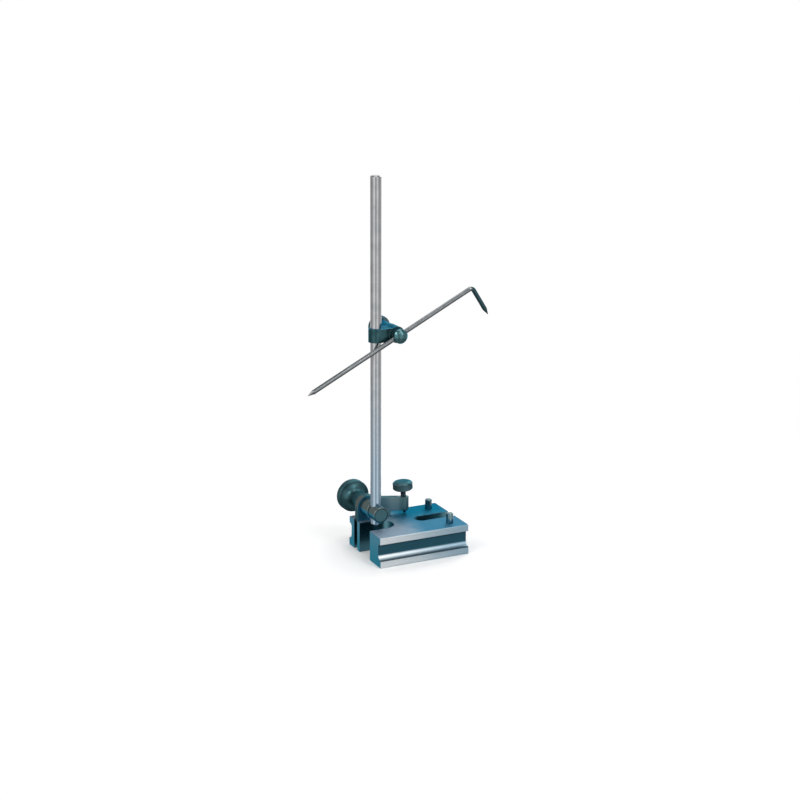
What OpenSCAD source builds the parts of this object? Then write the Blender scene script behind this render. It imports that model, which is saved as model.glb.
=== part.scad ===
// Surface gauge: a slotted steel base, a rocking bracket with a fine-adjustment screw,
// a swivelling spindle and a clamp that slides on the spindle and holds the scriber.
// Millimetres, +Z up. The origin is the middle of the base on the plane it rests on,
// in the mouth of the V-groove. +X runs along the base towards the open end slot,
// and -Y is the side with the swivel bolt's head.

/* [Base] */
// Length of the base along X
base_length = 85.7; // [78:0.1:120]
// Width of the base over its lower lands
base_width = 66.7; // [64:0.1:90]
// Height of the base
base_height = 27; // [25:0.5:36]
// Height of the plain land along the top of each long side
top_land = 6; // [4:0.5:8]
// Height of the plain land along the bottom of each long side
bottom_land = 6; // [4:0.5:8]
// How far the upper land stands back from the lower one
land_setback = 0.8; // [0.2:0.1:2]
// Depth of the finger groove under the upper land
groove_depth = 4.2; // [2:0.1:5]
// Radius of the fillet at the top of the finger groove
groove_fillet = 3; // [1:0.1:3.8]
// Radius of the cove at the foot of the finger groove
cove_radius = 4.4; // [2:0.1:4.8]
// Height of the small step between the lower land and the cove
cove_step = 0.8; // [0.4:0.1:1.5]
// Break on the sharp long edges of the base
edge_break = 0.4; // [0.1:0.1:1]
// Width of the round-ended slot that the spindle swings through
swing_slot_width = 22; // [18:0.5:24]
// Length of the swing slot from the left end of the base
swing_slot_length = 27.3; // [24:0.1:34]
// Width of the round-ended slot in the right end of the base
end_slot_width = 12.7; // [8:0.1:18]
// Length of the end slot from the right end of the base
end_slot_length = 36.7; // [20:0.1:42]
// Width of the V-groove along the bottom
vee_width = 18; // [12:0.5:21]
// Included angle of the V-groove
vee_angle = 90; // [80:1:120]

/* [Rocking bracket] */
// Wall left between the swing slot and the bracket's slot
slot_rib = 5; // [4:0.1:7]
// Thickness of the bracket's plate
bracket_thickness = 6.3; // [5:0.1:8]
// Length of the bracket's slot from the left end of the base
bracket_slot_length = 34; // [32:0.1:38]
// Distance of the pivot from the left end of the base
pivot_inset = 16; // [14:0.1:18]
// Height of the pivot above the bottom of the base
pivot_height = 15; // [13:0.1:16]
// Diameter of the pivot pin
pivot_pin_d = 5; // [3:0.1:6]
// Radius of the round heel about the pivot
heel_radius = 10.5; // [9:0.1:12]
// Radius of the lug about the swivel bolt
lug_radius = 10; // [9:0.1:12]
// Height of the arm's section, square to its length
arm_section = 12.3; // [8:0.1:14]
// Downward slope of the arm towards the adjusting screw, in degrees
arm_slope = 7.5; // [0:0.5:9]
// Gap between the base and the arm's underside at the screw boss
arm_clearance = 3.2; // [2.5:0.1:5]
// Radius of the round boss at the end of the arm
boss_radius = 4.3; // [4:0.05:5]
// Distance of the bracket spring's axis below the pivot
spring_drop = 6.5; // [5:0.1:7]

/* [Bracket spring] */
// Outside diameter of the spring that keeps the adjusting screw on the base
spring_d = 4.6; // [3.5:0.1:5]
// Wire diameter of that spring
spring_wire = 0.8; // [0.5:0.1:1]
// Number of turns in that spring
spring_turns = 6; // [4:1:9]
// Depth of the spring's pocket in the base
base_pocket_depth = 7; // [4:0.5:9]
// Depth of the spring's pocket in the heel
heel_pocket_depth = 2.8; // [2:0.1:4]

/* [Fine adjustment] */
// Distance of the adjusting screw's tip from the left end of the base
screw_tip_inset = 48.3; // [46:0.1:56]
// Lean of the adjusting screw towards the spindle, in degrees
screw_lean = 4.5; // [0:0.5:4.5]
// Diameter of the adjusting screw
screw_d = 5; // [4:0.1:5.2]
// Height of the cone at the screw's tip
screw_cone = 3.2; // [2:0.1:4]
// Diameter of the adjusting knob
adjust_knob_d = 18; // [14:0.5:22]
// Thickness of the adjusting knob
adjust_knob_h = 8.6; // [6:0.1:10]
// Bare neck of the screw between the arm and the knob
adjust_neck = 6.5; // [4:0.1:9]

/* [Swivel clamp] */
// Distance of the swivel axis from the left end of the base
swivel_inset = 10.8; // [10.5:0.1:12]
// Height of the swivel axis above the top of the base
swivel_rise = 12.7; // [12:0.1:16]
// Diameter of the swivel bolt's round head
bolt_head_d = 14.4; // [13.8:0.1:18]
// Thickness of the swivel bolt's round head
bolt_head_h = 3.6; // [2:0.1:4]
// Diameter of the bolt's body in front of the sleeve
bolt_front_d = 14; // [13.4:0.1:14.4]
// Wall of the bolt from its face to the spindle
bolt_face_wall = 6.4; // [5:0.1:8]
// Wall of the bolt behind the spindle
bolt_back_wall = 3.3; // [2.5:0.1:5]
// Wall of the bolt's body on each side of the spindle
bolt_side_wall = 1.35; // [1.2:0.05:1.6]
// Diameter of the bolt's threaded shank
bolt_shank_d = 8; // [6:0.1:9]
// Outside diameter of the sleeve between the spindle and the bracket
sleeve_d = 16; // [13.8:0.1:17]
// How far the sleeve's notch reaches over the back of the spindle
sleeve_grip = 3.4; // [2:0.1:4]
// Thickness of the washer under the clamp nut
washer_thickness = 1; // [0.5:0.1:1.5]
// Overall length of the spindle clamp nut
clamp_nut_length = 29.7; // [22:0.1:34]
// Diameter of the spindle clamp nut's knurled rim
clamp_nut_d = 29.4; // [22:0.1:32]
// Thickness of the spindle clamp nut's knurled rim
clamp_rim = 6.5; // [3:0.1:8]
// Diameter of the spindle clamp nut's neck
clamp_neck_d = 13; // [12:0.1:16]

/* [Spindle] */
// Diameter of the spindle
spindle_d = 9.525; // [8:0.005:9.6]
// Length of the spindle
spindle_length = 305; // [225:1:460]
// Length of the spindle below the swivel axis
spindle_tail = 11; // [9:0.1:11.5]
// Chamfer on the ends of the spindle
spindle_chamfer = 0.8; // [0.3:0.1:1.5]

/* [Scriber clamp] */
// Height of the scriber clamp above the bottom of the base at rest
clamp_height = 198.6; // [150:0.1:250]
// Wall of the ring around the spindle
ring_wall = 1.65; // [1.5:0.05:3]
// Height of the ring along the spindle
ring_height = 11.8; // [10:0.1:14]
// Distance between the spindle's axis and the clamp bolt's axis
ear_reach = 16.9; // [14.5:0.1:20]
// Radius of the rounded ears about the clamp bolt
ear_radius = 7.2; // [6:0.1:8]
// Depth of the two ears together with the split between them
ears_depth = 14; // [12:0.1:16]
// Width of the split between the ears
ear_split = 1.4; // [1:0.1:2]
// Diameter of the scriber clamp bolt's shank
eye_bolt_d = 7; // [6.6:0.1:7.6]
// Diameter of the scriber clamp bolt's domed head
dome_d = 12.8; // [11:0.1:14]
// Height of the domed head in front of the scriber
dome_height = 4.9; // [3:0.1:6]
// Thickness of the notched sleeve behind the scriber
notch_sleeve = 2.9; // [2.2:0.1:4]
// Outside diameter of the notched sleeve
notch_sleeve_d = 11.2; // [10:0.1:12.6]
// Depth of the sleeve's notch for the scriber
notch_depth = 1.2; // [0.8:0.1:1.6]
// Thickness of the washer behind the ears
snug_washer_thickness = 0.8; // [0.5:0.1:1.5]
// Overall length of the scriber clamp nut
ear_nut_length = 24; // [14:0.1:27]
// Diameter of the scriber clamp nut's knurled rim
ear_nut_d = 19.8; // [16:0.1:22]
// Thickness of the scriber clamp nut's knurled rim
ear_rim = 4; // [3:0.1:6]
// Diameter of the scriber clamp nut's neck
ear_neck_d = 13.6; // [12:0.1:14]

/* [Scriber] */
// Diameter of the scriber
scriber_d = 4; // [3:0.1:4.6]
// Length of the scriber from the clamp to its straight point
scriber_point_reach = 94.8; // [70:0.1:120]
// Length of the scriber from the clamp to its bend
scriber_bend_reach = 78.3; // [60:0.1:110]
// Length of the scriber's bent end, measured from the bend
hook_length = 29.7; // [18:0.1:40]
// Angle that the bent end turns through
hook_turn = 84.4; // [45:0.1:100]
// Tilt of the scriber above level, in degrees
scriber_tilt = 27.4; // [0:0.1:45]
// Centre-line radius of the scriber's bend
bend_radius = 3.4; // [2.6:0.1:8]
// Length of each ground point
point_length = 6; // [4:0.5:15]

/* [Guide pins] */
// Diameter of each guide pin
guide_pin_d = 6.35; // [5:0.05:8]
// Distance of the guide pins from the left end of the base
guide_pin_inset = 73.1; // [66:0.1:76]
// Distance of each guide pin from the middle of the base
guide_pin_offset = 21; // [16:0.1:23]
// Height of a raised guide pin above the top of the base
guide_pin_rise = 9; // [6:0.1:12]
// Wire diameter of the spring ring that holds each guide pin
ring_wire = 1; // [0.8:0.1:1.5]

/* [Fits] */
// Radial clearance of a turning or sliding fit
running = 0.05; // [0.02:0.01:0.08]
// Radial clearance of a part that is pushed in and stays
snug_fit = 0.02; // [0.01:0.01:0.04]
// Clearance between the bracket's plate and each side of its slot
plate_gap = 0.2; // [0.1:0.05:0.3]
// Gap kept between an end face and the bottom of its hole
end_gap = 0.3; // [0.2:0.1:0.5]

/* [Hidden] */
$fn = 96;

ground_steel = [0.56, 0.64, 0.70];
bright_steel = [0.78, 0.81, 0.84];
black_oxide = [0.17, 0.26, 0.28];
spring_steel = [0.45, 0.47, 0.50];

past = 1;                                   // how far a cut runs past the face it opens in
left_end = -base_length / 2;
right_end = base_length / 2;
half_width = base_width / 2;

// Finger groove, across Y
land_face = half_width - land_setback;
groove_wall = land_face - groove_depth;
groove_top = base_height - top_land;
cove_foot = bottom_land + cove_step;

// Bracket slot, across Y
bracket_slot_near = swing_slot_width / 2 + slot_rib;
bracket_slot_width = bracket_thickness + 2 * plate_gap;
plate_near = bracket_slot_near + plate_gap;
plate_far = plate_near + bracket_thickness;
plate_middle = (plate_near + plate_far) / 2;
bracket_slot_end = left_end + bracket_slot_length;

// Bracket, in the XZ plane
pivot_x = left_end + pivot_inset;
spring_z = pivot_height - spring_drop;
swivel_x = left_end + swivel_inset;
swivel_z = base_height + swivel_rise;
tip_x = left_end + screw_tip_inset;
boss_bottom = base_height + arm_clearance;
boss_top = boss_bottom + arm_section / cos(arm_slope);
boss_chamfer = 1.6;
boss_x = tip_x - (boss_bottom + boss_top - 2 * base_height) / 2 * tan(screw_lean);

// Adjusting screw, along its own axis from the tip
neck_start = (boss_top - base_height) / cos(screw_lean);
knob_start = neck_start + adjust_neck;
adjust_knob_r = adjust_knob_d / 2;
tip_gap = 0.03;                             // keeps the tip just off the base as the bracket rocks
knob_socket = adjust_knob_h * 0.6;

// Swivel clamp, along Y
spindle_r = spindle_d / 2;
bolt_body_r = spindle_r + bolt_side_wall;
bolt_head_front = -spindle_r - bolt_face_wall;
bolt_head_back = bolt_head_front + bolt_head_h;
sleeve_front = spindle_r + running - sleeve_grip;
bolt_body_back = spindle_r + bolt_back_wall;
shank_r = bolt_shank_d / 2;
nut_front = plate_far + washer_thickness;
nut_back = nut_front + clamp_nut_length;

// Spindle
spindle_bottom = swivel_z - spindle_tail;

// Scriber clamp
ring_r = spindle_r + running + ring_wall;
ear_x = swivel_x + ear_reach;
ear_front = -ears_depth / 2;
ear_back = ears_depth / 2;
eye_bolt_r = eye_bolt_d / 2;
scriber_r = scriber_d / 2;
bend_relief = 0.01;                         // how much thinner the bend is than the rods it joins
scriber_y = ear_front - notch_sleeve + notch_depth - scriber_r;
dome_back = scriber_y - scriber_r - end_gap;
ear_nut_front = ear_back + snug_washer_thickness;
ear_nut_back = ear_nut_front + ear_nut_length;

// Guide pins
guide_pin_r = guide_pin_d / 2;
guide_pin_x = left_end + guide_pin_inset;
guide_pin_foot = 0.5;
guide_spring_z = base_height / 2;

// ---- shared forms ----

// Puts a shape that is drawn along +Z onto an axis along +Y through (x, z)
module along_y(x, z) {
    translate([x, 0, z]) rotate([-90, 0, 0]) children();
}

// Puts a shape that is drawn up from the screw's tip onto the leaning screw axis
module on_screw_axis() {
    translate([tip_x, plate_middle, base_height]) rotate([0, -screw_lean, 0]) children();
}

// Puts a shape that is drawn along +X from the clamp's centre onto the tilted scriber
module on_scriber_axis() {
    translate([ear_x, scriber_y, clamp_height]) rotate([0, -scriber_tilt, 0]) children();
}

// A straight rod along +X with a ground point at its far end
module pointed_rod(length, radius, point) {
    rotate([0, 90, 0]) {
        cylinder(r = radius, h = length - point);
        translate([0, 0, length - point]) cylinder(r1 = radius, r2 = 0.15, h = point);
    }
}

// A slot with one round end, open at x = 0 and cut from z = 0 up
module round_ended_slot(length, width, height) {
    translate([-past, -width / 2, 0]) cube([length - width / 2 + past, width, height]);
    translate([length - width / 2, 0, 0]) cylinder(r = width / 2, h = height);
}

// A round nut along +Z: a straight neck, a hollow flare and a rim for the fingers
module flared_nut(length, neck_r, rim_r, rim, bore_r) {
    flare = rim_r - neck_r - 1;
    rim_edge = 0.7;
    rotate_extrude() difference() {
        polygon([
            [bore_r, 0], [neck_r - rim_edge, 0], [neck_r, rim_edge],
            [neck_r, length - rim - flare], [neck_r + flare, length - rim],
            [rim_r - rim_edge, length - rim], [rim_r, length - rim + rim_edge],
            [rim_r, length - rim_edge], [rim_r - rim_edge, length], [bore_r, length]
        ]);
        translate([neck_r + flare, length - rim - flare]) circle(r = flare);
    }
}

// ---- base ----

// One long side's finger groove, drawn in the YZ plane on the +Y side
module groove_section() {
    fillet_r = min(groove_fillet, groove_depth - 0.2);
    translate([groove_wall, cove_foot + cove_radius])
        square([half_width, groove_top - fillet_r - cove_foot - cove_radius]);
    translate([groove_wall + fillet_r, cove_foot + cove_radius])
        square([half_width, groove_top - cove_foot - cove_radius]);
    translate([groove_wall + fillet_r, groove_top - fillet_r]) circle(r = fillet_r);
    translate([groove_wall + cove_radius, cove_foot]) square([half_width, cove_radius + past]);
    translate([groove_wall + cove_radius, cove_foot + cove_radius]) circle(r = cove_radius);
    translate([half_width - land_setback / 2, bottom_land])
        square([half_width, cove_step + past]);
    translate([land_face, groove_top]) square([half_width, top_land + past]);
}

module base_section() {
    difference() {
        polygon([
            [-half_width + edge_break, 0], [half_width - edge_break, 0],
            [half_width, edge_break], [half_width, base_height - edge_break - land_setback],
            [land_face - edge_break, base_height], [-land_face + edge_break, base_height],
            [-half_width, base_height - edge_break - land_setback], [-half_width, edge_break]
        ]);
        groove_section();
        mirror([1, 0]) groove_section();
        polygon([
            [-vee_width / 2 - past * tan(vee_angle / 2), -past],
            [vee_width / 2 + past * tan(vee_angle / 2), -past],
            [0, vee_width / 2 / tan(vee_angle / 2)]
        ]);
    }
}

module guide_pin_hole(side) {
    translate([guide_pin_x, side * guide_pin_offset, 0]) {
        translate([0, 0, -past]) cylinder(r = guide_pin_r + running, h = base_height + 2 * past);
        translate([0, 0, guide_spring_z - ring_wire / 2 - snug_fit])
            cylinder(r = guide_pin_r + ring_wire + end_gap, h = ring_wire + 2 * snug_fit);
    }
}

module base() {
    color(ground_steel)
    difference() {
        rotate([90, 0, 90]) translate([0, 0, left_end])
            linear_extrude(height = base_length) base_section();
        translate([left_end, 0, -past])
            round_ended_slot(swing_slot_length, swing_slot_width, base_height + 2 * past);
        translate([right_end, 0, -past]) mirror([1, 0, 0])
            round_ended_slot(end_slot_length, end_slot_width, base_height + 2 * past);
        translate([left_end - past, bracket_slot_near, -past])
            cube([bracket_slot_length + past, bracket_slot_width, base_height + 2 * past]);
        along_y(pivot_x, pivot_height) translate([0, 0, swing_slot_width / 2 + 1])
            cylinder(r = pivot_pin_d / 2 + snug_fit, h = half_width);
        translate([bracket_slot_end - past, plate_middle, spring_z]) rotate([0, 90, 0])
            cylinder(r = spring_d / 2 + end_gap, h = base_pocket_depth + past);
        guide_pin_hole(-1);
        guide_pin_hole(1);
    }
}

module bracket_pivot_pin() {
    pin_start = swing_slot_width / 2 + 1 + end_gap;
    color(bright_steel)
    along_y(pivot_x, pivot_height) translate([0, 0, pin_start])
        cylinder(r = pivot_pin_d / 2, h = groove_wall - pin_start);
}

// ---- guide pins ----

module guide_pin(side) {
    color(bright_steel)
    translate([guide_pin_x, side * guide_pin_offset, guide_pin_foot]) {
        length = base_height + guide_pin_rise - guide_pin_foot;
        edge = guide_pin_r / 5;
        rotate_extrude() polygon([
            [0, 0], [guide_pin_r - edge, 0], [guide_pin_r, edge],
            [guide_pin_r, length - edge], [guide_pin_r - edge, length], [0, length]
        ]);
    }
}

module guide_pin_near() {
    guide_pin(-1);
}

module guide_pin_far() {
    guide_pin(1);
}

// An open spring ring in the groove around its pin
module guide_spring(side) {
    color(spring_steel)
    translate([guide_pin_x, side * guide_pin_offset, guide_spring_z])
        rotate([0, 0, 20]) rotate_extrude(angle = 320)
            translate([guide_pin_r + running + ring_wire / 2, 0]) circle(r = ring_wire / 2);
}

module guide_spring_near() {
    guide_spring(-1);
}

module guide_spring_far() {
    guide_spring(1);
}

// ---- rocking bracket ----

// The arm's upper or lower edge height at a place along X, above the base's bottom
function arm_edge(x, boss_z) = boss_z + (boss_x - x) * tan(arm_slope);

module bracket_section() {
    root_x = bracket_slot_end - 1.2;
    lug_left = swivel_x - lug_radius;
    translate([swivel_x, swivel_z]) circle(r = lug_radius);
    translate([pivot_x, pivot_height]) circle(r = heel_radius);
    polygon([
        [lug_left, swivel_z], [lug_left, base_height - 0.5],
        [pivot_x - heel_radius * cos(10), pivot_height + heel_radius * sin(10)],
        [pivot_x, pivot_height],
        [pivot_x + heel_radius * cos(30), pivot_height + heel_radius * sin(30)],
        [root_x - 1, base_height - 1.5], [root_x + 0.5, arm_edge(root_x + 0.5, boss_bottom)],
        [boss_x, boss_bottom], [boss_x, boss_top],
        [swivel_x, arm_edge(swivel_x, boss_top)]
    ]);
}

module rocking_bracket() {
    color(black_oxide)
    difference() {
        union() {
            translate([0, plate_far, 0]) rotate([90, 0, 0])
                linear_extrude(height = bracket_thickness) bracket_section();
            translate([boss_x, plate_middle, boss_bottom]) rotate_extrude() polygon([
                [0, 0], [boss_radius - boss_chamfer / 2, 0], [boss_radius, boss_chamfer],
                [boss_radius, boss_top - boss_bottom], [0, boss_top - boss_bottom]
            ]);
        }
        along_y(swivel_x, swivel_z) cylinder(r = shank_r + running, h = half_width);
        along_y(pivot_x, pivot_height) cylinder(r = pivot_pin_d / 2 + running, h = half_width);
        on_screw_axis() cylinder(r = screw_d / 2 + running, h = knob_start);
        translate([pivot_x, plate_middle, spring_z]) rotate([0, 90, 0])
            translate([0, 0, sqrt(heel_radius * heel_radius - spring_drop * spring_drop)])
                translate([0, 0, -heel_pocket_depth])
                    cylinder(r = spring_d / 2 + end_gap, h = heel_radius);
    }
}

// A compression spring along X, a tube swept along a helix
module bracket_spring() {
    heel_face = pivot_x + sqrt(heel_radius * heel_radius - spring_drop * spring_drop);
    start = heel_face - heel_pocket_depth + spring_wire / 2 + 0.02;
    length = bracket_slot_end + base_pocket_depth - spring_wire / 2 - 0.02 - start;
    coil_r = (spring_d - spring_wire) / 2;
    steps = spring_turns * 16;
    sides = 6;
    pitch_angle = atan(length / (spring_turns * 2 * PI * coil_r));
    // a point on the wire's skin: i counts along the helix and j round the wire
    function skin(i, j) =
        let (turn = i * 360 / 16, side = j * 360 / sides, reach = spring_wire / 2)
        let (out = coil_r + reach * cos(side), along = reach * sin(side))
        [
            start + length * i / steps + along * cos(pitch_angle),
            plate_middle + out * cos(turn) + along * sin(pitch_angle) * sin(turn),
            spring_z + out * sin(turn) - along * sin(pitch_angle) * cos(turn)
        ];
    points = [for (i = [0:steps], j = [0:sides - 1]) skin(i, j)];
    walls = [
        for (i = [0:steps - 1], j = [0:sides - 1])
            let (a = i * sides + j, b = i * sides + (j + 1) % sides)
                each [[a, b, b + sides], [a, b + sides, a + sides]]
    ];
    first_end = [for (j = [1:sides - 2]) [0, j + 1, j]];
    last = steps * sides;
    last_end = [for (j = [1:sides - 2]) [last, last + j, last + j + 1]];
    color(spring_steel) polyhedron(points, concat(walls, first_end, last_end));
}

// ---- fine adjustment ----

module fine_adjust_screw() {
    tip_r = 0.4;
    color(bright_steel)
    on_screw_axis() rotate_extrude() polygon([
        [0, tip_gap], [tip_r, tip_gap + tip_r / 2], [screw_d / 2, screw_cone],
        [screw_d / 2, knob_start + knob_socket - end_gap],
        [0, knob_start + knob_socket - end_gap]
    ]);
}

module fine_adjust_knob() {
    edge = adjust_knob_h / 10;
    color(black_oxide)
    on_screw_axis() translate([0, 0, knob_start]) rotate_extrude() difference() {
        polygon([
            [0, 0], [adjust_knob_r * 0.42, 0], [adjust_knob_r - edge, edge],
            [adjust_knob_r, edge * 2], [adjust_knob_r, adjust_knob_h - edge * 2.4],
            [adjust_knob_r - edge * 1.2, adjust_knob_h - edge * 1.2],
            [adjust_knob_r * 0.6, adjust_knob_h - edge * 0.2], [0, adjust_knob_h]
        ]);
        translate([0, -past]) square([screw_d / 2 + snug_fit, knob_socket + past]);
    }
}

// ---- swivel clamp ----

module swivel_bolt() {
    head_r = bolt_head_d / 2;
    front_r = bolt_front_d / 2;
    front_end = sleeve_front - end_gap;
    edge = 0.8;
    thread_end = nut_back - 1;
    color(black_oxide)
    difference() {
        along_y(swivel_x, swivel_z) rotate_extrude() polygon([
            [0, bolt_head_front], [head_r - edge, bolt_head_front],
            [head_r, bolt_head_front + edge], [head_r, bolt_head_back],
            [front_r, bolt_head_back], [front_r, front_end],
            [bolt_body_r, front_end], [bolt_body_r, bolt_body_back],
            [shank_r, bolt_body_back], [shank_r, thread_end - edge],
            [shank_r - edge, thread_end], [0, thread_end]
        ]);
        translate([swivel_x, 0, swivel_z - bolt_head_d])
            cylinder(r = spindle_r + running, h = 2 * bolt_head_d);
    }
}

module swivel_sleeve() {
    sleeve_r = sleeve_d / 2;
    edge = 0.5;
    color(black_oxide)
    difference() {
        along_y(swivel_x, swivel_z) rotate_extrude() polygon([
            [bolt_body_r + running, sleeve_front], [sleeve_r - edge, sleeve_front],
            [sleeve_r, sleeve_front + edge], [sleeve_r, plate_near - edge],
            [sleeve_r - edge, plate_near], [shank_r + running, plate_near],
            [shank_r + running, bolt_body_back + end_gap],
            [bolt_body_r + running, bolt_body_back + end_gap]
        ]);
        translate([swivel_x, 0, swivel_z - bolt_head_d])
            cylinder(r = spindle_r + running, h = 2 * bolt_head_d);
    }
}

module clamp_washer() {
    color(bright_steel)
    along_y(swivel_x, swivel_z) translate([0, 0, plate_far]) difference() {
        cylinder(r = clamp_neck_d / 2 + 0.8, h = washer_thickness);
        translate([0, 0, -past]) cylinder(r = shank_r + 0.1, h = washer_thickness + 2 * past);
    }
}

module spindle_clamp_nut() {
    color(black_oxide)
    along_y(swivel_x, swivel_z) translate([0, 0, nut_front])
        flared_nut(clamp_nut_length, clamp_neck_d / 2, clamp_nut_d / 2, clamp_rim,
                   shank_r + running);
}

module spindle() {
    color(bright_steel)
    translate([swivel_x, 0, spindle_bottom]) rotate_extrude() polygon([
        [0, 0], [spindle_r - spindle_chamfer, 0], [spindle_r, spindle_chamfer],
        [spindle_r, spindle_length - spindle_chamfer],
        [spindle_r - spindle_chamfer, spindle_length], [0, spindle_length]
    ]);
}

// ---- scriber clamp ----

module snug_clamp() {
    color(black_oxide)
    difference() {
        union() {
            translate([swivel_x, 0, clamp_height - ring_height / 2])
                cylinder(r = ring_r, h = ring_height);
            translate([swivel_x, -ring_r, clamp_height - ring_height / 2])
                cube([ear_reach, 2 * ring_r, ring_height]);
            along_y(ear_x, clamp_height) translate([0, 0, ear_front])
                cylinder(r = ear_radius, h = ears_depth);
        }
        translate([swivel_x, 0, clamp_height - ring_height])
            cylinder(r = spindle_r + running, h = 2 * ring_height);
        along_y(ear_x, clamp_height) translate([0, 0, -ears_depth])
            cylinder(r = eye_bolt_r + running, h = 2 * ears_depth);
        translate([swivel_x, -ear_split / 2, clamp_height - ring_height])
            cube([ear_reach + ear_radius + past, ear_split, 2 * ring_height]);
    }
}

module snug_bolt() {
    dome_r = dome_d / 2;
    rim = 1.2;
    // radius of the ball whose cap makes the dome above its straight rim
    cap = dome_height - rim;
    ball_r = (dome_r * dome_r + cap * cap) / (2 * cap);
    color(black_oxide)
    difference() {
        union() {
            along_y(ear_x, clamp_height) translate([0, 0, dome_back - rim])
                cylinder(r = eye_bolt_r, h = ear_nut_back - 1 - dome_back + rim);
            along_y(ear_x, clamp_height) translate([0, 0, dome_back - rim])
                cylinder(r = dome_r, h = rim);
            intersection() {
                translate([ear_x, dome_back - dome_height + ball_r, clamp_height])
                    sphere(r = ball_r);
                along_y(ear_x, clamp_height) translate([0, 0, dome_back - dome_height - past])
                    cylinder(r = dome_r, h = cap + past);
            }
        }
        on_scriber_axis() translate([-dome_d, 0, 0]) rotate([0, 90, 0])
            cylinder(r = scriber_r + running, h = 2 * dome_d);
    }
}

module snug_sleeve() {
    color(black_oxide)
    difference() {
        along_y(ear_x, clamp_height) translate([0, 0, ear_front - notch_sleeve])
            difference() {
                cylinder(r = notch_sleeve_d / 2, h = notch_sleeve);
                translate([0, 0, -past])
                    cylinder(r = eye_bolt_r + running, h = notch_sleeve + 2 * past);
            }
        on_scriber_axis() translate([-dome_d, 0, 0]) rotate([0, 90, 0])
            cylinder(r = scriber_r + running, h = 2 * dome_d);
    }
}

module snug_washer() {
    color(bright_steel)
    along_y(ear_x, clamp_height) translate([0, 0, ear_back]) difference() {
        cylinder(r = ear_neck_d / 2, h = snug_washer_thickness);
        translate([0, 0, -past])
            cylinder(r = eye_bolt_r + 2 * running, h = snug_washer_thickness + 2 * past);
    }
}

module snug_nut() {
    color(black_oxide)
    along_y(ear_x, clamp_height) translate([0, 0, ear_nut_front])
        flared_nut(ear_nut_length, ear_neck_d / 2, ear_nut_d / 2, ear_rim,
                   eye_bolt_r + running);
}

// ---- scriber ----

module scriber() {
    bend_setback = bend_radius * tan(hook_turn / 2);
    color(bright_steel)
    on_scriber_axis() {
        mirror([1, 0, 0]) pointed_rod(scriber_point_reach, scriber_r, point_length);
        rotate([0, 90, 0]) cylinder(r = scriber_r, h = scriber_bend_reach - bend_setback);
        translate([scriber_bend_reach - bend_setback, 0, -bend_radius]) {
            rotate([90, 0, 0]) rotate([0, 0, 90 - hook_turn]) rotate_extrude(angle = hook_turn)
                translate([bend_radius, 0]) circle(r = scriber_r - bend_relief);
            rotate([0, hook_turn, 0]) translate([0, 0, bend_radius])
                pointed_rod(hook_length - bend_setback, scriber_r, point_length);
        }
    }
}

base();
bracket_pivot_pin();
guide_spring_near();
guide_spring_far();
guide_pin_near();
guide_pin_far();
rocking_bracket();
bracket_spring();
fine_adjust_screw();
fine_adjust_knob();
swivel_bolt();
swivel_sleeve();
clamp_washer();
spindle_clamp_nut();
spindle();
snug_clamp();
snug_bolt();
snug_sleeve();
snug_washer();
snug_nut();
scriber();
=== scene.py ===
import math

import bpy
import numpy as np
from mathutils import Matrix, Vector


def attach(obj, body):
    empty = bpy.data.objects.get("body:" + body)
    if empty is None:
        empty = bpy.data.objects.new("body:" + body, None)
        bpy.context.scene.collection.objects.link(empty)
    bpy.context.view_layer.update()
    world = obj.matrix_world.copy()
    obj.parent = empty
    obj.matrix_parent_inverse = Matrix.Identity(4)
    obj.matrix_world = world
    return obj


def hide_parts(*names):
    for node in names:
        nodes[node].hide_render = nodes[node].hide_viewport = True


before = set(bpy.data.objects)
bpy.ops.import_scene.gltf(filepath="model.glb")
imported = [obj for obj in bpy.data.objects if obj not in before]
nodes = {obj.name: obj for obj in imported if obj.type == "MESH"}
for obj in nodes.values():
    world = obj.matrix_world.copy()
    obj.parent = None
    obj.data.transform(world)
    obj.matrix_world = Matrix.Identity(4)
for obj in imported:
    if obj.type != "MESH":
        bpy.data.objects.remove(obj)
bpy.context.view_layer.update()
MM = 0.001
FULL_TURN = 2 * math.pi

# ---- sizes repeated from the CAD, in millimetres ----

LEFT = -42.85                               # the base's left end
BASE_HEIGHT = 27.0
PLATE_MIDDLE = 19.35                        # the bracket's middle plane, as y
SWIVEL = (LEFT + 10.8, 39.7)                # the spindle's swivel axis, as (x, z)
EAR = (SWIVEL[0] + 16.9, 198.6)             # the scriber clamp's bolt, as (x, z)
HOOK_BEND = 53.0                            # painted shade darkens the scriber beyond this x
TIP = Vector((LEFT + 48.3, PLATE_MIDDLE, BASE_HEIGHT))      # the adjusting screw's tip
LEAN = math.radians(4.5)                    # the adjusting screw's
BOSS_TOP = 42.606
KNOB_CLEARANCE = 6.5                        # from the boss to the adjusting knob
KNOB_START = (BOSS_TOP - BASE_HEIGHT) / math.cos(LEAN) + KNOB_CLEARANCE    # from the tip
KNOB_R, KNOB_HEIGHT = 9.0, 8.6
SCREW_R = 2.5


# ---- mesh helpers, in millimetres ----

SAME = 1e-6                                 # radii that differ by less are the same
SEGMENTS_PER_TOOTH = 6


def new_object(name, verts, faces, material, body, stands_for):
    mesh = bpy.data.meshes.new(name)
    mesh.from_pydata([tuple(v) for v in verts], [], faces)
    mesh.validate()
    mesh.update()
    obj = bpy.data.objects.new(name, mesh)
    bpy.context.scene.collection.objects.link(obj)
    mesh.materials.append(material)
    for polygon in mesh.polygons:
        polygon.use_smooth = True
    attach(obj, body)
    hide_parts(stands_for)


def triangle_wave(t):
    """0 at whole numbers and 1 halfway between them."""
    return 2 * np.abs(t - np.round(t))


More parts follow.
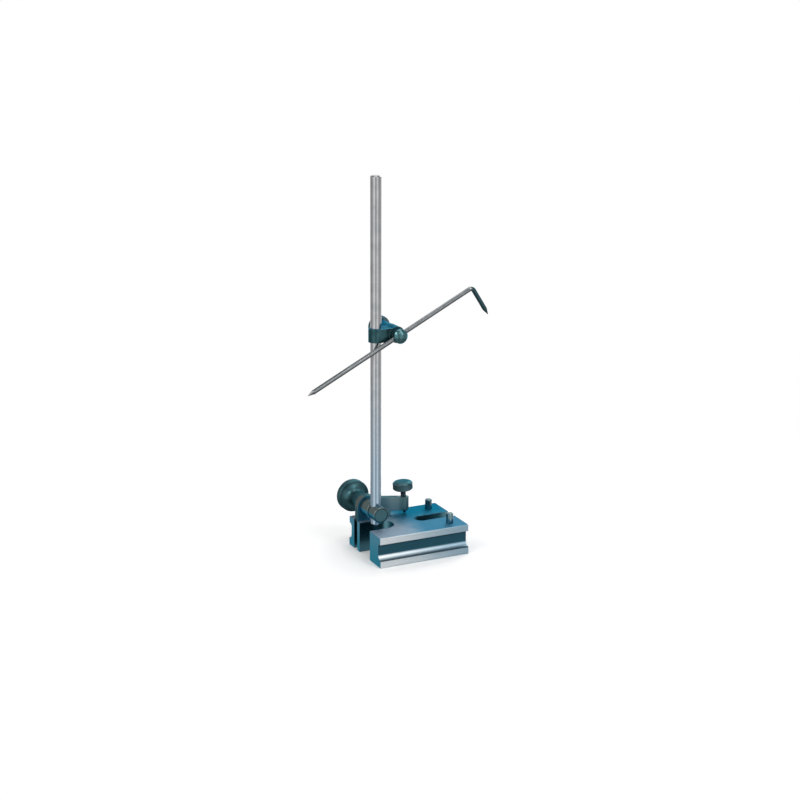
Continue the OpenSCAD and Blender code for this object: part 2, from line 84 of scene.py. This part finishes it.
def densify(profile, step):
    """Adds points along an (r, z) profile so that none are further apart than step."""
    out = [profile[0]]
    for (r0, z0), (r1, z1) in zip(profile, profile[1:]):
        n = max(1, math.ceil(math.hypot(r1 - r0, z1 - z0) / step))
        out += [(r0 + (r1 - r0) * i / n, z0 + (z1 - z0) * i / n) for i in range(1, n + 1)]
    return out


def densify_rim(profile, rim_r, rim_step, step):
    """Adds points along an (r, z) profile: rim_step apart on the rim, and step elsewhere."""
    out = []
    for start, end in zip(profile, profile[1:]):
        on_rim = abs(start[0] - rim_r) < SAME and abs(end[0] - rim_r) < SAME
        out += densify([start, end], rim_step if on_rim else step)[:-1]
    return out + [profile[-1]]


def arc(cx, cz, radius, start, end, count):
    """Points (r, z) on an arc about (cx, cz), from start to end in degrees."""
    angles = np.radians(np.linspace(start, end, count))
    return [(cx + radius * math.cos(a), cz + radius * math.sin(a)) for a in angles]


def revolve(profile, segments, place, relief):
    """Turns an (r, z) profile about its axis. relief(angle, r, z) is how far each point sinks."""
    rows = np.array(profile, float)
    angle = np.arange(segments) * FULL_TURN / segments
    r = np.repeat(rows[:, :1], segments, axis=1)
    z = np.repeat(rows[:, 1:], segments, axis=1)
    a = np.repeat(angle[None, :], len(rows), axis=0)
    r = r - relief(a, r, z)
    points = np.stack([r * np.cos(a), r * np.sin(a), z], axis=-1).reshape(-1, 3)
    verts = [place @ Vector(p) * MM for p in points]
    faces = []
    for i in range(len(rows) - 1):
        for j in range(segments):
            k = (j + 1) % segments
            a0, a1 = i * segments + j, i * segments + k
            faces.append((a0, a1, a1 + segments, a0 + segments))
    return verts, faces


def knurl(rim_r, low, high, teeth, depth):
    """A diamond knurl on a rim: rows of small pyramids that fade out towards low and high."""
    pitch = FULL_TURN * rim_r / teeth
    fade = 0.35

    def relief(a, r, z):
        around = a * teeth / FULL_TURN
        along = (z - low) / pitch
        cut = np.maximum(triangle_wave(around + along), triangle_wave(around - along))
        inside = np.clip((z - low) / fade, 0, 1) * np.clip((high - z) / fade, 0, 1)
        return np.where(r > rim_r - SAME, depth * cut * inside, 0.0)
    return relief


# ---- shader node helpers ----

class Graph:
    """Short ways to add nodes to one shader tree."""

    def __init__(self, tree):
        self.tree = tree
        self.tree.nodes.clear()

    def put(self, socket, value):
        if isinstance(value, bpy.types.NodeSocket):
            self.tree.links.new(value, socket)
        elif value is not None:
            socket.default_value = value

    def add(self, kind, out=0, inputs=(), **settings):
        made = self.tree.nodes.new(kind)
        for key, value in settings.items():
            setattr(made, key, value)
        for key, value in dict(inputs).items():
            self.put(made.inputs[key], value)
        return made.outputs[out]

    def math(self, operation, a, b=None):
        return self.add("ShaderNodeMath", 0, {0: a, 1: b}, operation=operation)

    def split(self, vector):
        """The x, y and z of a vector."""
        parts = self.tree.nodes.new("ShaderNodeSeparateXYZ")
        self.put(parts.inputs[0], vector)
        return parts.outputs

    def reach(self, a, b):
        """How far (a, b) is from (0, 0)."""
        return self.math("SQRT", self.math("ADD", self.math("MULTIPLY", a, a),
                                           self.math("MULTIPLY", b, b)))

    def mix_shaders(self, factor, a, b):
        return self.add("ShaderNodeMixShader", 0, {0: factor, 1: a, 2: b})


class Nodes(Graph):
    """The tree of one new material."""

    def __init__(self, name):
        self.material = bpy.data.materials.new(name)
        self.material.use_nodes = True
        super().__init__(self.material.node_tree)
        self.output = self.tree.nodes.new("ShaderNodeOutputMaterial")
        self.shader = self.tree.nodes.new("ShaderNodeBsdfPrincipled")
        self.tree.links.new(self.shader.outputs[0], self.output.inputs[0])

    def smooth(self, value, low, high, to_low=0.0, to_high=1.0):
        """A smooth step of value between low and high."""
        return self.add("ShaderNodeMapRange", 0, {
            "Value": value, "From Min": low, "From Max": high,
            "To Min": to_low, "To Max": to_high}, interpolation_type="SMOOTHSTEP")

    def mix(self, factor, a, b):
        made = self.tree.nodes.new("ShaderNodeMix")
        made.data_type = "RGBA"
        self.put(made.inputs[0], factor)
        self.put(made.inputs[6], a if isinstance(a, bpy.types.NodeSocket) else (*a, 1))
        self.put(made.inputs[7], b if isinstance(b, bpy.types.NodeSocket) else (*b, 1))
        return made.outputs[2]

    def band(self, value, low, high, soft):
        """1 between low and high, falling to 0 within soft on either side."""
        return self.math("MULTIPLY", self.smooth(value, low - soft, low + soft),
                         self.smooth(value, high - soft, high + soft, 1.0, 0.0))

    def both(self, *factors):
        out = factors[0]
        for factor in factors[1:]:
            out = self.math("MULTIPLY", out, factor)
        return out

    def without(self, factor):
        return self.math("SUBTRACT", 1.0, factor)

    def wander(self, value, pattern, amount):
        """value, moved up and down by a 0 to 1 pattern."""
        swing = self.math("MULTIPLY", self.math("SUBTRACT", pattern, 0.5), amount)
        return self.math("ADD", value, swing)

    def place(self, scale=(1, 1, 1)):
        """Object coordinates, in metres, times a scale."""
        source = self.add("ShaderNodeTexCoord", "Object")
        return self.add("ShaderNodeMapping", 0, {"Vector": source, "Scale": scale})

    def noise(self, scale, detail, roughness, vector=None):
        return self.add("ShaderNodeTexNoise", 0, {
            "Vector": vector if vector is not None else self.place(),
            "Scale": scale, "Detail": detail, "Roughness": roughness})

    def xyz(self):
        return self.split(self.add("ShaderNodeTexCoord", "Object"))

    def normal(self):
        """The true normal in object space."""
        return self.split(self.add(
            "ShaderNodeVectorTransform", 0,
            {"Vector": self.add("ShaderNodeNewGeometry", "True Normal")},
            vector_type="NORMAL", convert_from="WORLD", convert_to="OBJECT"))

    def finish(self, color, roughness, metallic, height, distance, strength, bevel,
               grazing=(1, 1, 1)):
        """Sets the shader: bumps of distance over rounded edges, and a tint at grazing angles."""
        rounded = self.add("ShaderNodeBevel", 0, {"Radius": bevel}, samples=6)
        bumps = self.add("ShaderNodeBump", 0, {
            "Strength": strength, "Distance": distance, "Height": height, "Normal": rounded})
        for key, value in {"Base Color": color, "Roughness": roughness, "Metallic": metallic,
                           "Specular Tint": (*grazing, 1), "Normal": bumps}.items():
            self.put(self.shader.inputs[key], value)
        return self.material


# ---- materials ----

X_AXIS, Y_AXIS, Z_AXIS = range(3)
GREEN_DARK, GREEN_LIGHT = (0.026, 0.076, 0.086), (0.050, 0.125, 0.140)
# Painted reflections: blue and teal of the blue surroundings, and a brownish straw one for upper
# faces and edges
BLUE_REFLECTION, TEAL_REFLECTION = (0.014, 0.120, 0.210), (0.030, 0.200, 0.270)
STRAW_REFLECTION = (0.140, 0.150, 0.138)

# Where one finish of the base, or one of its painted reflections and shades, gives way to the next,
# in metres
END_FACE_X = (0.0420, 0.0424)
TOP_FACE_Z = (0.0262, 0.0268)
OUTER_SIDE_Y = (0.0277, 0.0281)
GROOVE_Z = (0.0100, 0.0208)
GROOVE_SIDE_Y = (0.0322, 0.0324)
STEP_Z = (0.0059, 0.0069)
TOP_BLUE_X = (-0.022, 0.007)
TOP_DEEP_BLUE_Y = (-0.012, 0.022)
SWING_SLOT_X = (-0.032, -0.024)
END_LIGHTER_Z = (0.004, 0.026)
BRIGHT_FADE_X = (-0.045, 0.043)

# The same on the bracket
ARM_X = (-0.018, -0.006)
BOSS_X = (-0.003, 0.001)
LUG_X = (-0.026, -0.020)
LUG_TOP_X = (-0.037, -0.034)
LUG_TOP_Z = (0.036, 0.042)


def base_steel():
    """Ground steel: bright lands and coves and a dark, unpolished finger groove, with painted
    reflections (a blue-grey top, blue ends and slot walls) and a painted shadow line under the
    coves.
    """
    n = Nodes("ground_steel")
    x, y, z = n.xyz()
    nx, _, nz = n.normal()
    side = n.math("ABSOLUTE", y)
    end_face = n.both(n.smooth(n.math("ABSOLUTE", nx), 0.75, 0.95),
                      n.smooth(n.math("ABSOLUTE", x), *END_FACE_X))
    top_face = n.both(n.smooth(nz, 0.6, 0.9), n.smooth(z, *TOP_FACE_Z))
    outer = n.both(n.smooth(side, *OUTER_SIDE_Y), n.without(end_face), n.without(top_face))
    groove = n.both(outer, n.band(z, *GROOVE_Z, 0.0008), n.smooth(side, *GROOVE_SIDE_Y, 1, 0))
    # A painted shadow line along the step under the coves
    step = n.both(outer, n.band(z, *STEP_Z, 0.0002))
    cloud = n.noise(38.0, 4.0, 0.6)
    mottle = n.noise(160.0, 5.0, 0.65)
    lines = n.noise(1.0, 4.0, 0.65, n.place((90, 5200, 900)))
    end_lines = n.noise(1.0, 4.0, 0.65, n.place((900, 260, 4200)))
    streak = n.mix(end_face, lines, end_lines)

    # The top goes from grey on the left to blue on the right, and is deepest on the far right: a
    # painted reflection of blue surroundings
    rightwards = n.smooth(n.wander(x, cloud, 0.03), *TOP_BLUE_X)
    farwards = n.smooth(n.wander(y, mottle, 0.02), *TOP_DEEP_BLUE_Y)
    top = n.mix(rightwards, (0.380, 0.460, 0.560), (0.085, 0.245, 0.385))
    top = n.mix(n.both(rightwards, farwards), top, (0.012, 0.180, 0.310))
    # The slot walls are painted lighter and bluer than their shade, as painted light and
    # reflection, and painted darker in the swing slot, as painted shade
    walls = n.mix(cloud, (0.090, 0.230, 0.290), (0.130, 0.300, 0.360))
    walls = n.mix(n.smooth(x, *SWING_SLOT_X, 1.0, 0.0), walls, (0.045, 0.125, 0.160))
    # The end faces are painted blue as a reflection, and painted lighter towards the top
    ends = n.mix(n.math("ADD", n.smooth(z, *END_LIGHTER_Z), n.math("MULTIPLY", mottle, 0.2)),
                 (0.060, 0.280, 0.410), (0.140, 0.320, 0.450))
    # The lands and coves fade from near white on the left to blue-grey on the right: a painted
    # reflection
    bright_fade = n.math("ADD", n.smooth(x, *BRIGHT_FADE_X, 0.0, 0.8),
                    n.math("MULTIPLY", cloud, 0.25))
    bright = n.mix(bright_fade, (0.930, 0.975, 1.000), (0.350, 0.520, 0.630))
    dark = n.mix(cloud, (0.020, 0.085, 0.130), (0.040, 0.130, 0.175))
    color = n.mix(end_face, walls, ends)
    color = n.mix(top_face, color, top)
    color = n.mix(outer, color, bright)
    color = n.mix(groove, color, dark)
    # Painted shadow along the step
    color = n.mix(step, color, (0.055, 0.085, 0.110))
    color = n.mix(n.smooth(streak, 0.35, 0.7, 0.0, 0.14), color, (0.04, 0.07, 0.09))
    rough = n.math("ADD", n.math("MULTIPLY", streak, 0.14), 0.22)
    rough = n.math("ADD", rough, n.math("MULTIPLY", outer, 0.20))
    rough = n.math("ADD", rough, n.math("MULTIPLY", top_face, 0.30))
    return n.finish(color, rough, metallic=1.0, height=streak, distance=0.00002,
                    strength=0.35, bevel=0.0004, grazing=(0.42, 0.86, 0.95))


def bright_steel(name, tint, shade, rough=0.2, across=70.0, along=2600.0, foot_reflection=None, hook_shade=None):
    """Polished steel with fine marks. across and along are the marks' scales over and up Z.

    the foot tint, (colour, low, high), is a painted reflection that fades in from high down to low,
    and the hook tint, (colour, x), is painted shade over all that lies beyond x.
    """
    n = Nodes(name)
    x, _, z = n.xyz()
    cloud = n.noise(120.0, 4.0, 0.6)
    lines = n.noise(1.0, 4.0, 0.65, n.place((across, across, along)))
    color = n.mix(n.smooth(cloud, 0.35, 0.7), tint, shade)
    # A painted reflection of the blue surroundings, fading in towards the foot
    if foot_reflection:
        painted_reflection_color, low, high = foot_reflection
        color = n.mix(n.smooth(z, low, high, 1.0, 0.0), color, painted_reflection_color)
    # Painted shade over the hook beyond the bend
    if hook_shade:
        painted_shade_color, start = hook_shade
        color = n.mix(n.smooth(x, start - 0.0004, start + 0.0012), color, painted_shade_color)
    color = n.mix(n.smooth(lines, 0.5, 0.8, 0.0, 0.12), color, (0.16, 0.18, 0.20))
    roughness = n.math("ADD", n.math("MULTIPLY", lines, 0.12), rough - 0.06)
    return n.finish(color, roughness, metallic=1.0, height=lines, distance=0.00001,
                    strength=0.25, bevel=0.0002)


def black_oxide(name, dark, light, rough=0.34, worn_and_highlight=(0.15, 0.24, 0.26), wear=0.6, turned=None,
                reflection_tints=(), ring=None):
    """Oiled black oxide: dark and faintly green or blue, rubbed lighter along the edges; on the
    knobs this lighter edge is also a painted highlight.

    Each of the tints is (colour, axis, low, high): a painted reflection that fades in as the
    surface's normal goes from low to high on that axis. ring is (x, z, low, high), in millimetres:
    a dark ring of painted shade, where a turned groove would be, between two radii, with turned
    marks, on faces across the Y axis. turned scales the marks that take the place of the grain.
    """
    n = Nodes(name)
    x, _, z = n.xyz()
    normal = n.normal()
    cloud = n.noise(95.0, 5.0, 0.62)
    grain = n.noise(2400.0, 3.0, 0.6)
    color = n.mix(n.smooth(cloud, 0.32, 0.68), dark, light)
    # Painted reflections, laid on by the way each face points
    for tint, axis, low, high in reflection_tints:
        color = n.mix(n.smooth(n.wander(normal[axis], cloud, 0.25), low, high), color, tint)
    # A ring of painted shade where a turned groove would be
    if ring:
        ring_x, ring_z, inner, outer = (size * MM for size in ring)
        reach = n.reach(n.math("SUBTRACT", x, ring_x), n.math("SUBTRACT", z, ring_z))
        facing = n.smooth(n.math("ABSOLUTE", normal[Y_AXIS]), 0.8, 0.95)
        groove = n.both(facing, n.band(reach, inner, outer, 0.00015))
        marks = n.noise(9000.0, 2.0, 0.6, n.add("ShaderNodeCombineXYZ", 0, {"X": reach}))
        color = n.mix(groove, color, (0.012, 0.030, 0.036))
        color = n.mix(n.both(facing, n.smooth(marks, 0.5, 0.8, 0.0, 0.4)), color, dark)
    true_normal = n.add("ShaderNodeNewGeometry", "Normal")
    soft_normal = n.add("ShaderNodeBevel", 0, {"Radius": 0.0006}, samples=6)
    same = n.add("ShaderNodeVectorMath", "Value", {0: true_normal, 1: soft_normal},
                 operation="DOT_PRODUCT")
    # Lighter edges: wear, and on the knobs also a painted highlight along the rim
    edge = n.smooth(n.math("ADD", same, n.math("MULTIPLY", grain, 0.05)), 0.90, 1.0, wear, 0.0)
    color = n.mix(edge, color, worn_and_highlight)
    height = n.noise(1.0, 3.0, 0.6, n.place(turned)) if turned else grain
    roughness = n.math("ADD", n.math("MULTIPLY", cloud, 0.16),
                       n.math("ADD", n.math("MULTIPLY", grain, 0.08), rough - 0.12))
    return n.finish(color, roughness, metallic=0.9, height=height, distance=0.00001,
                    strength=0.3, bevel=0.0003, grazing=(0.32, 0.72, 0.88))


def plate_oxide():
    """The bracket: dark oxide with broad faces that were ground afterwards, the boss painted
    lighter against its shading, and painted reflections and highlights on the lug.
    """
    n = Nodes("bracket_steel")
    x, _, z = n.xyz()
    _, ny, _ = n.normal()
    cloud = n.noise(70.0, 4.0, 0.6)
    lines = n.noise(1.0, 4.0, 0.65, n.place((120, 900, 3600)))
    face = n.smooth(n.math("ABSOLUTE", ny), 0.85, 0.97)
    boss = n.smooth(x, *BOSS_X)
    lug = n.smooth(x, *LUG_X, 1.0, 0.0)
    # Mask for the painted highlight along the lug's top
    high = n.both(lug, n.smooth(z, *LUG_TOP_Z), n.smooth(x, *LUG_TOP_X, 1.0, 0.0))
    edges = n.mix(cloud, (0.026, 0.082, 0.090), (0.042, 0.112, 0.120))
    # A painted straw highlight along the lug's top
    edges = n.mix(high, edges, STRAW_REFLECTION)
    ground = n.mix(n.smooth(cloud, 0.3, 0.7), (0.080, 0.165, 0.190), (0.125, 0.200, 0.215))
    ground = n.mix(n.smooth(x, *ARM_X), ground, (0.250, 0.325, 0.320))
    # The boss is painted lighter against its own shading: painted light
    ground = n.mix(boss, ground, (0.145, 0.255, 0.260))
    # The lug's broad faces: a painted blue reflection, painted lighter where the sleeve shades them
    broad = n.mix(lug, ground, n.mix(cloud, (0.045, 0.230, 0.350), (0.065, 0.260, 0.380)))
    color = n.mix(n.math("MAXIMUM", face, boss), edges, broad)
    color = n.mix(n.smooth(lines, 0.5, 0.8, 0.0, 0.3), color, (0.02, 0.05, 0.06))
    roughness = n.math("ADD", n.math("MULTIPLY", lines, 0.16), 0.28)
    return n.finish(color, roughness, metallic=0.95, height=lines, distance=0.00002,
                    strength=0.3, bevel=0.0004, grazing=(0.6, 0.8, 0.9))


STEEL_BASE = base_steel()
# The spindle turns bluer towards its foot: a painted reflection
STEEL_ROD = bright_steel("spindle_steel", (0.50, 0.51, 0.525), (0.42, 0.435, 0.45), 0.16,
                         foot_reflection=((0.37, 0.50, 0.61), 0.030, 0.190))
# The scriber's hook is darkened by painted shade
STEEL_SCRIBER = bright_steel("scriber_steel", (0.26, 0.275, 0.285), (0.19, 0.205, 0.215), 0.18,
                             across=1500, along=1500,
                             hook_shade=((0.045, 0.105, 0.125), HOOK_BEND * MM))
STEEL_PIN = bright_steel("pin_steel", (0.200, 0.320, 0.355), (0.100, 0.215, 0.250))
STEEL_SMALL = bright_steel("washer_steel", (0.20, 0.25, 0.27), (0.13, 0.18, 0.20), 0.3)
STEEL_SCREW = bright_steel("screw_steel", (0.060, 0.085, 0.105), (0.035, 0.055, 0.070), 0.3)
OXIDE = black_oxide("black_oxide", GREEN_DARK, GREEN_LIGHT)
OXIDE_DOME = black_oxide("black_oxide_polished", (0.070, 0.170, 0.185), (0.100, 0.210, 0.225),
                         0.24)
# The rim's lighter edges are wear and a painted highlight
OXIDE_KNOB = black_oxide("black_oxide_knob", (0.034, 0.090, 0.102), (0.060, 0.142, 0.160), 0.36,
                         worn_and_highlight=(0.30, 0.40, 0.41), wear=0.85, turned=(900, 900, 900))
# Upward faces take a painted reflection of blue surroundings
OXIDE_SNUG_NUT = black_oxide("black_oxide_snug_nut", (0.080, 0.120, 0.124),
                             (0.124, 0.172, 0.180), 0.32, worn_and_highlight=(0.26, 0.36, 0.38), wear=0.8,
                             reflection_tints=((BLUE_REFLECTION, Z_AXIS, 0.40, 0.85),))
# Upward faces take a painted reflection of blue surroundings
OXIDE_TOP = black_oxide("black_oxide_blue_top", GREEN_DARK, GREEN_LIGHT, 0.30,
                        reflection_tints=((BLUE_REFLECTION, Z_AXIS, 0.25, 0.75),))
# The rim's lighter edges are wear and a painted highlight
OXIDE_ADJUST = black_oxide("black_oxide_adjust", (0.045, 0.105, 0.125), (0.070, 0.140, 0.160),
                           worn_and_highlight=(0.32, 0.42, 0.45), wear=0.85)
# Blue all round and brownish straw on top: painted reflections
OXIDE_SLEEVE = black_oxide("black_oxide_painted_reflections", (0.045, 0.235, 0.330),
                           (0.055, 0.280, 0.480), 0.26,
                           reflection_tints=((STRAW_REFLECTION, Z_AXIS, -0.15, 0.25),))
# Teal and blue with a brownish straw top, all painted reflections; faces towards -Y take a greyer
# teal, and the ring is painted shade
OXIDE_BOLT = black_oxide("black_oxide_bolt", TEAL_REFLECTION, (0.040, 0.240, 0.420), 0.30,
                         reflection_tints=((STRAW_REFLECTION, Z_AXIS, -0.15, 0.25),
                                ((0.062, 0.142, 0.162), Y_AXIS, -0.6, -0.9)),
                         ring=(*SWIVEL, 5.7, 6.5))
PLATE = plate_oxide()

for name, material in {
    "base": STEEL_BASE, "spindle": STEEL_ROD, "scriber": STEEL_SCRIBER,
    "guide_pin_near": STEEL_PIN, "guide_pin_far": STEEL_PIN, "bracket_pivot_pin": STEEL_PIN,
    "guide_spring_near": STEEL_SMALL, "guide_spring_far": STEEL_SMALL,
    "bracket_spring": STEEL_SMALL, "clamp_washer": STEEL_SMALL, "snug_washer": STEEL_SMALL,
    "rocking_bracket": PLATE, "swivel_bolt": OXIDE_BOLT, "swivel_sleeve": OXIDE_SLEEVE,
    "snug_clamp": OXIDE_TOP, "snug_bolt": OXIDE_DOME, "snug_sleeve": OXIDE,
}.items():
    node = nodes[name]
    node.data.materials.clear()
    node.data.materials.append(material)


# ---- clamp nuts, on axes along +Y ----

def clamp_nut(name, axis, y, length, neck, rim_r, rim, bore, teeth, node, body, material):
    """A nut with a straight neck, a hollow flare and a diamond-knurled rim, with a dished end."""
    flare = rim_r - neck - 1
    edge = 0.7
    dish = 0.4
    face = length - rim
    profile = [(bore, 0), (neck - edge, 0), (neck, edge), (neck, face - flare)]
    profile += arc(neck + flare, face - flare, flare, 180, 90, 14)[1:]
    profile += [(rim_r - edge, face), (rim_r, face + edge), (rim_r, length - edge),
                (rim_r - edge, length), (rim_r - 2.4, length), (rim_r - 3.0, length - dish),
                (bore + 1.6, length - dish), (bore + 1.2, length), (bore + 0.5, length),
                (bore, length - 0.5), (bore, 0)]
    x, z = axis
    along_y = Matrix.Translation((x, y, z)) @ Matrix.Rotation(math.radians(-90), 4, "X")
    verts, faces = revolve(densify_rim(profile, rim_r, rim_step=0.17, step=1.2),
                           teeth * SEGMENTS_PER_TOOTH, along_y,
                           knurl(rim_r, face + edge, length - edge, teeth, depth=0.32))
    new_object(name, verts, faces, material, body, node)


clamp_nut("knurled_clamp_nut", SWIVEL, y=23.5, length=29.7, neck=6.5, rim_r=14.7, rim=6.5,
          bore=4.05, teeth=84, node="spindle_clamp_nut", body="clamp_nut", material=OXIDE_KNOB)
clamp_nut("knurled_snug_nut", EAR, y=7.8, length=24.0, neck=6.8, rim_r=9.9, rim=4.0,
          bore=3.55, teeth=60, node="snug_nut", body="snug_nut", material=OXIDE_SNUG_NUT)


# ---- fine adjustment ----

SCREW_PLACE = Matrix.Translation(TIP) @ Matrix.Rotation(-LEAN, 4, "Y")


def adjust_knob():
    """The small knob, rounded over its top, with a knurl between two bevels."""
    r, h = KNOB_R, KNOB_HEIGHT
    edge = h / 10
    low, high = edge * 2, h - edge * 2.4
    outer = [(SCREW_R + 0.02, 0.0), (r * 0.42, 0), (r - edge, edge), (r, low), (r, high),
             (r - edge * 1.2, h - edge * 1.2), (r * 0.6, h - edge * 0.2), (0.02, h)]
    teeth = 52
    segments = teeth * SEGMENTS_PER_TOOTH
    verts, faces = revolve(densify_rim(outer, r, rim_step=0.15, step=0.7), segments,
                           SCREW_PLACE @ Matrix.Translation((0, 0, KNOB_START)),
                           knurl(r, low, high, teeth, depth=0.3))
    faces.append(tuple(range(len(verts) - segments, len(verts))))
    new_object("knurled_adjust_knob", verts, faces, OXIDE_ADJUST, "adjust_knob",
               "fine_adjust_knob")


def adjust_screw():
    """The adjusting screw, with its thread between the cone and the knob."""
    pitch, depth = 0.8, 0.32
    tip, cone, top = 0.4, 3.2, KNOB_START + KNOB_HEIGHT * 0.6 - 0.3
    profile = densify([(0.02, 0.03), (tip, 0.03 + tip / 2), (SCREW_R, cone), (SCREW_R, top)], 0.1)
    profile.append((0.02, top))

    def thread(a, _, z):
        inside = np.clip((z - cone) / pitch, 0, 1) * np.clip((top - z) / 0.2, 0, 1)
        return depth * triangle_wave(z / pitch - a / FULL_TURN) * inside
    verts, faces = revolve(profile, 32, SCREW_PLACE, thread)
    new_object("threaded_adjust_screw", verts, faces, STEEL_SCREW, "screw",
               "fine_adjust_screw")


adjust_knob()
adjust_screw()


# ---- floor ----

def floor_material():
    """White and matt near the object, fading out to the white world around it."""
    n = Nodes("floor_white")
    x, y, _ = n.xyz()
    fade = n.smooth(n.reach(x, y), 0.18, 0.60)
    glossy = n.add("ShaderNodeLightPath", "Is Glossy Ray")
    n.put(n.shader.inputs["Base Color"], (0.93, 0.93, 0.93, 1))
    n.put(n.shader.inputs["Roughness"], 0.9)
    clear = n.add("ShaderNodeBsdfTransparent")
    n.put(n.output.inputs[0],
          n.mix_shaders(n.math("MAXIMUM", fade, glossy), n.shader.outputs[0], clear))
    return n.material


bpy.ops.mesh.primitive_circle_add(vertices=96, radius=1.3, fill_type="NGON",
                                  location=(0, 0, -0.00005))
floor = bpy.context.object
floor.name = "floor"
floor.data.materials.append(floor_material())


# ---- world: soft panels, placed from the camera's direction round the object ----

AZ, EL, ROLL = (math.radians(a) for a in (25.74, 15.138, 0.261))
CAMERA_SIDE = math.atan2(-math.cos(AZ), -math.sin(AZ))

# Brightness of the reflected surroundings at (degrees from the camera's side), and at (height of
# the direction, from -1 straight down to 1 straight up)
PANELS = [(-180, 0.72), (-130, 0.50), (-92, 0.32), (-67, 0.48), (-45, 0.80), (-25, 1.0),
          (-8, 0.46), (5, 0.46), (15, 0.56), (33, 1.0), (50, 0.64), (76, 0.42), (103, 0.42),
          (140, 0.70), (180, 0.72)]
HEIGHTS = [(-1.0, 0.45), (-0.55, 0.42), (-0.32, 1.0), (0.40, 1.0), (0.58, 0.85), (0.74, 0.40),
           (0.93, 0.40), (0.98, 0.90), (1.0, 1.0)]
PANEL_PEAK = 1.25
WHITE, SOFT = 1.0, 0.62                     # what the camera sees, and what matt surfaces get


def ramp(graph, value, greys):
    """A soft ramp through (position, grey) stops."""
    out = graph.add("ShaderNodeValToRGB", 0, {0: value})
    stops = out.node.color_ramp
    stops.interpolation = "EASE"
    while len(stops.elements) > 1:
        stops.elements.remove(stops.elements[-1])
    for i, (position, grey) in enumerate(greys):
        element = stops.elements[0] if i == 0 else stops.elements.new(position)
        element.position = position
        element.color = (grey, grey, grey, 1)
    return out


def studio_world():
    """White behind the object, and in its reflections soft panels with grey gaps between them."""
    made = bpy.data.worlds.new("studio")
    made.use_nodes = True
    g = Graph(made.node_tree)
    x, y, z = g.split(g.add("ShaderNodeTexCoord", "Generated"))
    turns = g.math("DIVIDE", g.math("SUBTRACT", g.math("ARCTAN2", y, x), CAMERA_SIDE), FULL_TURN)
    round_about = ramp(g, g.math("FRACT", g.math("ADD", turns, 1.5)),
                       [((degrees + 180) / 360, grey) for degrees, grey in PANELS])
    up_down = ramp(g, g.math("MULTIPLY", g.math("ADD", z, 1.0), 0.5),
                   [((height + 1) / 2, grey) for height, grey in HEIGHTS])
    pattern = g.math("MULTIPLY", g.math("MULTIPLY", round_about, up_down), PANEL_PEAK)
    white, reflected, soft = (
        g.add("ShaderNodeBackground", 0, {"Color": (1, 1, 1, 1), "Strength": strength})
        for strength in (WHITE, pattern, SOFT))
    path = g.tree.nodes.new("ShaderNodeLightPath").outputs
    shiny = g.math("MAXIMUM", path["Is Glossy Ray"], path["Is Transmission Ray"])
    lit = g.mix_shaders(shiny, soft, reflected)
    output = g.tree.nodes.new("ShaderNodeOutputWorld")
    g.put(output.inputs[0], g.mix_shaders(path["Is Camera Ray"], lit, white))
    return made


bpy.context.scene.world = studio_world()


# ---- lamps ----

# Each lamp's place and target in metres, its width and height, and its power in watts
LAMPS = {
    "key": ((-1.22, -0.31, 1.10), (0, 0, 0.12), (0.6, 0.6), 6),
    "spot": ((-0.214, -0.877, 1.105), (0, 0, 0.17), (0.28, 0.28), 0.8),
    "strip": ((0.36, -0.76, 1.0), (0, 0, 0.02), (0.34, 1.2), 4),
    "back": ((0.9, 0.7, 0.9), (0, 0, 0.12), (0.8, 0.8), 4),
    "top": ((0.1, 0.3, 1.5), (0, 0, 0.05), (0.8, 0.8), 4),
}
for name, (place, target, size, power) in LAMPS.items():
    lamp = bpy.data.lights.new(name, "AREA")
    lamp.shape = "RECTANGLE"
    lamp.size, lamp.size_y = size
    lamp.energy = power
    holder = bpy.data.objects.new(name, lamp)
    bpy.context.scene.collection.objects.link(holder)
    holder.location = place
    aim = Vector(target) - Vector(place)
    holder.rotation_euler = aim.to_track_quat("-Z", "Y").to_euler()


# ---- camera, where the photograph was taken from ----

IMAGE_PX = 800
FOCAL_PX = 1489.5
OFF_CENTRE_PX = 0.5
SENSOR_MM = 36
CAMERA_TARGET = Vector((LEFT + 34.39, 0, 138.22)) * MM
CAMERA_DISTANCE = 1.2921

back = Vector((-math.sin(AZ) * math.cos(EL), -math.cos(AZ) * math.cos(EL), math.sin(EL)))
right = (-back).cross(Vector((0, 0, 1))).normalized()
up = right.cross(-back)
right_rolled = right * math.cos(ROLL) + up * math.sin(ROLL)
up_rolled = up * math.cos(ROLL) - right * math.sin(ROLL)
camera_data = bpy.data.cameras.new("camera")
camera_data.sensor_width = SENSOR_MM
camera_data.lens = FOCAL_PX * SENSOR_MM / IMAGE_PX
camera_data.clip_end = 20
camera_data.shift_x = -OFF_CENTRE_PX / IMAGE_PX
camera_data.shift_y = OFF_CENTRE_PX / IMAGE_PX
camera = bpy.data.objects.new("camera", camera_data)
bpy.context.scene.collection.objects.link(camera)
turned = Matrix((right_rolled, up_rolled, back)).transposed().to_4x4()
camera.matrix_world = Matrix.Translation(CAMERA_TARGET + back * CAMERA_DISTANCE) @ turned
bpy.context.scene.camera = camera

bpy.context.scene.view_settings.view_transform = "Standard"
